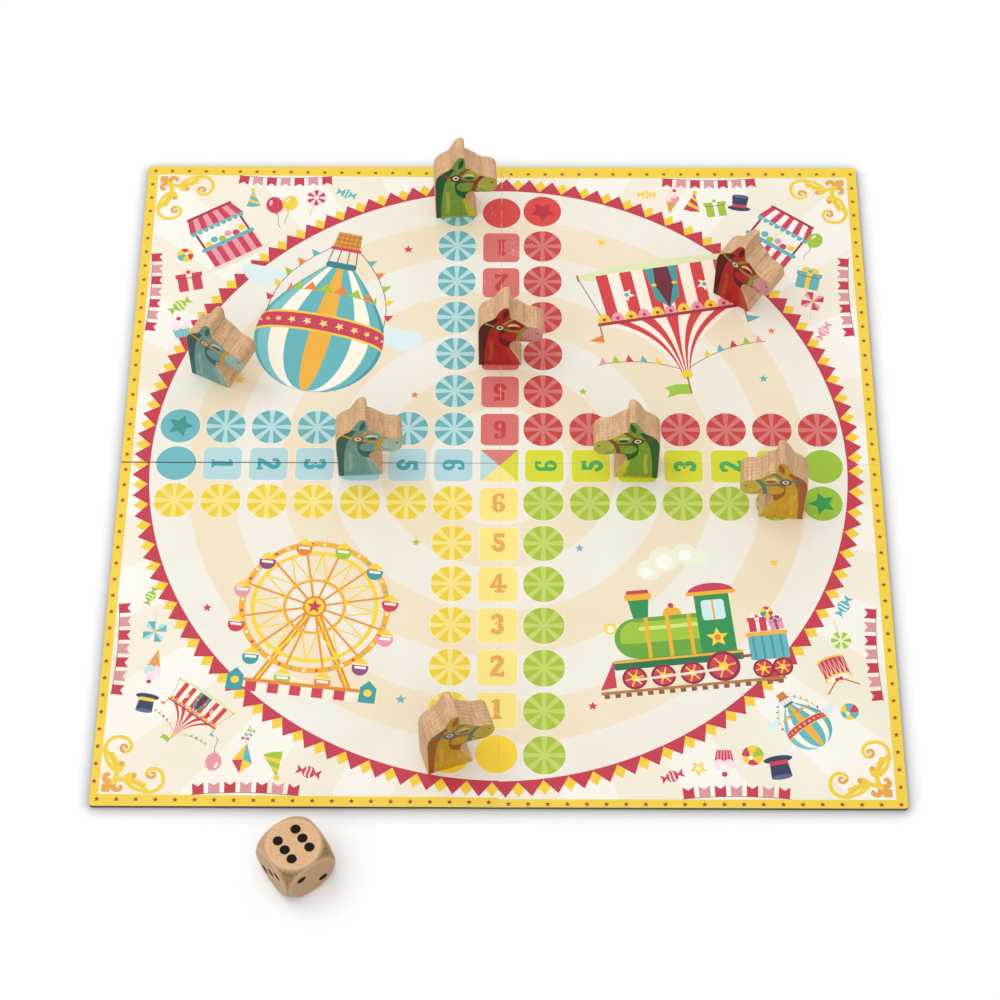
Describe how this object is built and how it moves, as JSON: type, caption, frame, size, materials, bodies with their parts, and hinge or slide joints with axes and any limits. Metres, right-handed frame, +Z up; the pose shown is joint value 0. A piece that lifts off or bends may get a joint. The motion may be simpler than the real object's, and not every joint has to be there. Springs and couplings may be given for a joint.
{
  "type": "folding race game set",
  "caption": "Square quarter-folding race-game board, open and flat, set out with upright wooden horse-head pieces and a round-cornered wooden die.",
  "frame": {"origin": "on the table under the middle of the box round the whole set", "axes": "+Z up from the table, +Y from the die's side of the board to the far side, +X to the right of someone facing +Y"},
  "size_m": [0.28, 0.316, 0.0382],
  "materials": {
    "greyboard": "raw grey cardboard, cut edge",
    "printed_paper": "colour print on coated paper, satin",
    "backing_paper": "plain uncoated paper",
    "hinge_cloth": "thin glued cloth",
    "painted_beech": "sawn beech, painted on both faces",
    "beech": "turned beech, pips painted black"
  },
  "bodies": {
    "rear_left_panel": {"core_rear_left": "greyboard", "sheet_rear_left": "printed_paper", "backing_rear_left": "backing_paper", "hinge_rear_left_leaf": "hinge_cloth"},
    "rear_right_panel": {"core_rear_right": "greyboard", "sheet_rear_right": "printed_paper", "backing_rear_right": "backing_paper", "hinge_rear_right_leaf": "hinge_cloth", "hinge_side_rear_leaf": "hinge_cloth"},
    "front_right_panel": {"core_front_right": "greyboard", "sheet_front_right": "printed_paper", "backing_front_right": "backing_paper", "hinge_front_right_leaf": "hinge_cloth", "hinge_side_front_leaf": "hinge_cloth"},
    "front_left_panel": {"core_front_left": "greyboard", "sheet_front_left": "printed_paper", "backing_front_left": "backing_paper", "hinge_front_left_leaf": "hinge_cloth"},
    "green_1_horse": {"horse_green_1": "painted_beech"},
    "green_2_horse": {"horse_green_2": "painted_beech"},
    "red_1_horse": {"horse_red_1": "painted_beech"},
    "red_2_horse": {"horse_red_2": "painted_beech"},
    "teal_1_horse": {"horse_teal_1": "painted_beech"},
    "teal_2_horse": {"horse_teal_2": "painted_beech"},
    "yellow_1_horse": {"horse_yellow_1": "painted_beech"},
    "yellow_2_horse": {"horse_yellow_2": "painted_beech"},
    "die": {"die": "beech"}
  },
  "joints": [
    {"name": "fold", "type": "hinge", "parent": "front_left_panel", "child": "front_right_panel", "pos_m": [0, 0.01799, 0.00185], "axis": [0, -1, 0], "range_deg": [0, 180]},
    {"name": "fold_side", "type": "hinge", "parent": "front_right_panel", "child": "rear_right_panel", "pos_m": [0.07, 0.01799, -0.00015], "axis": [-1, 0, 0], "range_deg": [0, 180]},
    {"name": "fold_rear", "type": "hinge", "parent": "rear_right_panel", "child": "rear_left_panel", "pos_m": [0, 0.01799, 0.00185], "axis": [0, 1, 0], "range_deg": [0, 180]},
    {"name": "pieces_aside", "type": "hinge", "parent": "front_right_panel", "child": "die", "pos_m": [0.14, 0.01799, 0.00185], "axis": [0, -1, 0], "range_deg": [-180, 0]},
    {"name": "green_1_lift", "type": "slide", "parent": "die", "child": "green_1_horse", "axis": [0, 0, 1], "range_m": [0, 0.06]},
    {"name": "green_2_lift", "type": "slide", "parent": "die", "child": "green_2_horse", "axis": [0, 0, 1], "range_m": [0, 0.06]},
    {"name": "red_1_lift", "type": "slide", "parent": "die", "child": "red_1_horse", "axis": [0, 0, 1], "range_m": [0, 0.06]},
    {"name": "red_2_lift", "type": "slide", "parent": "die", "child": "red_2_horse", "axis": [0, 0, 1], "range_m": [0, 0.06]},
    {"name": "teal_1_lift", "type": "slide", "parent": "die", "child": "teal_1_horse", "axis": [0, 0, 1], "range_m": [0, 0.06]},
    {"name": "teal_2_lift", "type": "slide", "parent": "die", "child": "teal_2_horse", "axis": [0, 0, 1], "range_m": [0, 0.06]},
    {"name": "yellow_1_lift", "type": "slide", "parent": "die", "child": "yellow_1_horse", "axis": [0, 0, 1], "range_m": [0, 0.06]},
    {"name": "yellow_2_lift", "type": "slide", "parent": "die", "child": "yellow_2_horse", "axis": [0, 0, 1], "range_m": [0, 0.06]}
  ],
  "couplings": [
    {"joint": "fold_side", "follows": "fold", "ratio": 1},
    {"joint": "fold_rear", "follows": "fold", "ratio": 1},
    {"joint": "pieces_aside", "follows": "fold", "ratio": -1}
  ]
}
